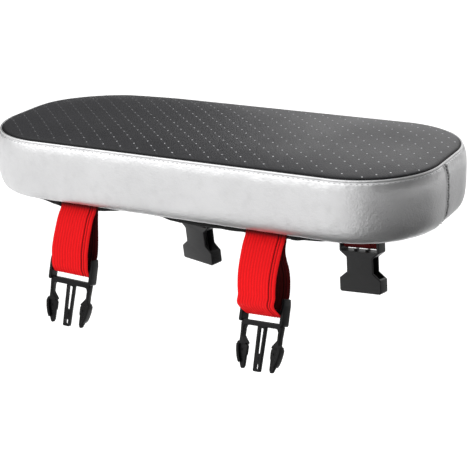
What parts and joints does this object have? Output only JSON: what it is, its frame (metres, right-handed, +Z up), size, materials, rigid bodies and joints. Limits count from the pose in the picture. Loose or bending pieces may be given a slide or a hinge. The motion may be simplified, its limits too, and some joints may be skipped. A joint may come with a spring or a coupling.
{
  "type": "bicycle carrier seat cushion",
  "caption": "Padded passenger cushion for a bicycle's rear carrier, with a dotted dark top, pale side band, and webbing loops that hold side-release buckle halves.",
  "frame": {"origin": "middle of the flat underside, where the cushion rests on the carrier", "axes": "+X along the cushion, to the picture's right; -Y towards the camera side with the buckle plugs; +Z up"},
  "size_m": [0.3506, 0.1873, 0.1439],
  "materials": {
    "foam": "open-cell foam",
    "top_cover": "soft matt leatherette with small pale dots",
    "band_cover": "satin silver leatherette",
    "piping": "satin silver leatherette",
    "base_fabric": "black woven fabric",
    "thread": "twisted sewing thread",
    "webbing": "ribbed red elastic webbing",
    "buckle_plastic": "moulded black plastic"
  },
  "bodies": {
    "cushion": {"foam_core": "foam", "top_panel": "top_cover", "side_band": "band_cover", "edge_piping": "piping", "bottom_panel": "base_fabric", "edge_stitching": "thread", "hem_stitching": "thread", "closing_seam_stitching": "thread", "strap_loop_front_left": "webbing", "strap_loop_front_right": "webbing", "strap_loop_rear_left": "webbing", "strap_loop_rear_right": "webbing"},
    "plug_left": {"buckle_plug_left": "buckle_plastic"},
    "plug_right": {"buckle_plug_right": "buckle_plastic"},
    "socket_left": {"buckle_socket_left": "buckle_plastic"},
    "socket_right": {"buckle_socket_right": "buckle_plastic"}
  },
  "joints": [
    {"name": "plug_left_swing", "type": "hinge", "parent": "cushion", "child": "plug_left", "pos_m": [-0.083, -0.0795, -0.0427], "axis": [0.9979, 0.042, -0.0487], "range_deg": [-94, 112]},
    {"name": "plug_right_swing", "type": "hinge", "parent": "cushion", "child": "plug_right", "pos_m": [0.0706, -0.0775, -0.0492], "axis": [0.9882, -0.127, 0.086], "range_deg": [-62, 116]},
    {"name": "socket_left_swing", "type": "hinge", "parent": "cushion", "child": "socket_left", "pos_m": [-0.068, 0.077, -0.05], "axis": [0.9378, -0.3446, 0.0435], "range_deg": [-82, 96]},
    {"name": "socket_right_swing", "type": "hinge", "parent": "cushion", "child": "socket_right", "pos_m": [0.0772, 0.076, -0.052], "axis": [0.9874, -0.119, 0.104], "range_deg": [-71, 106]}
  ]
}
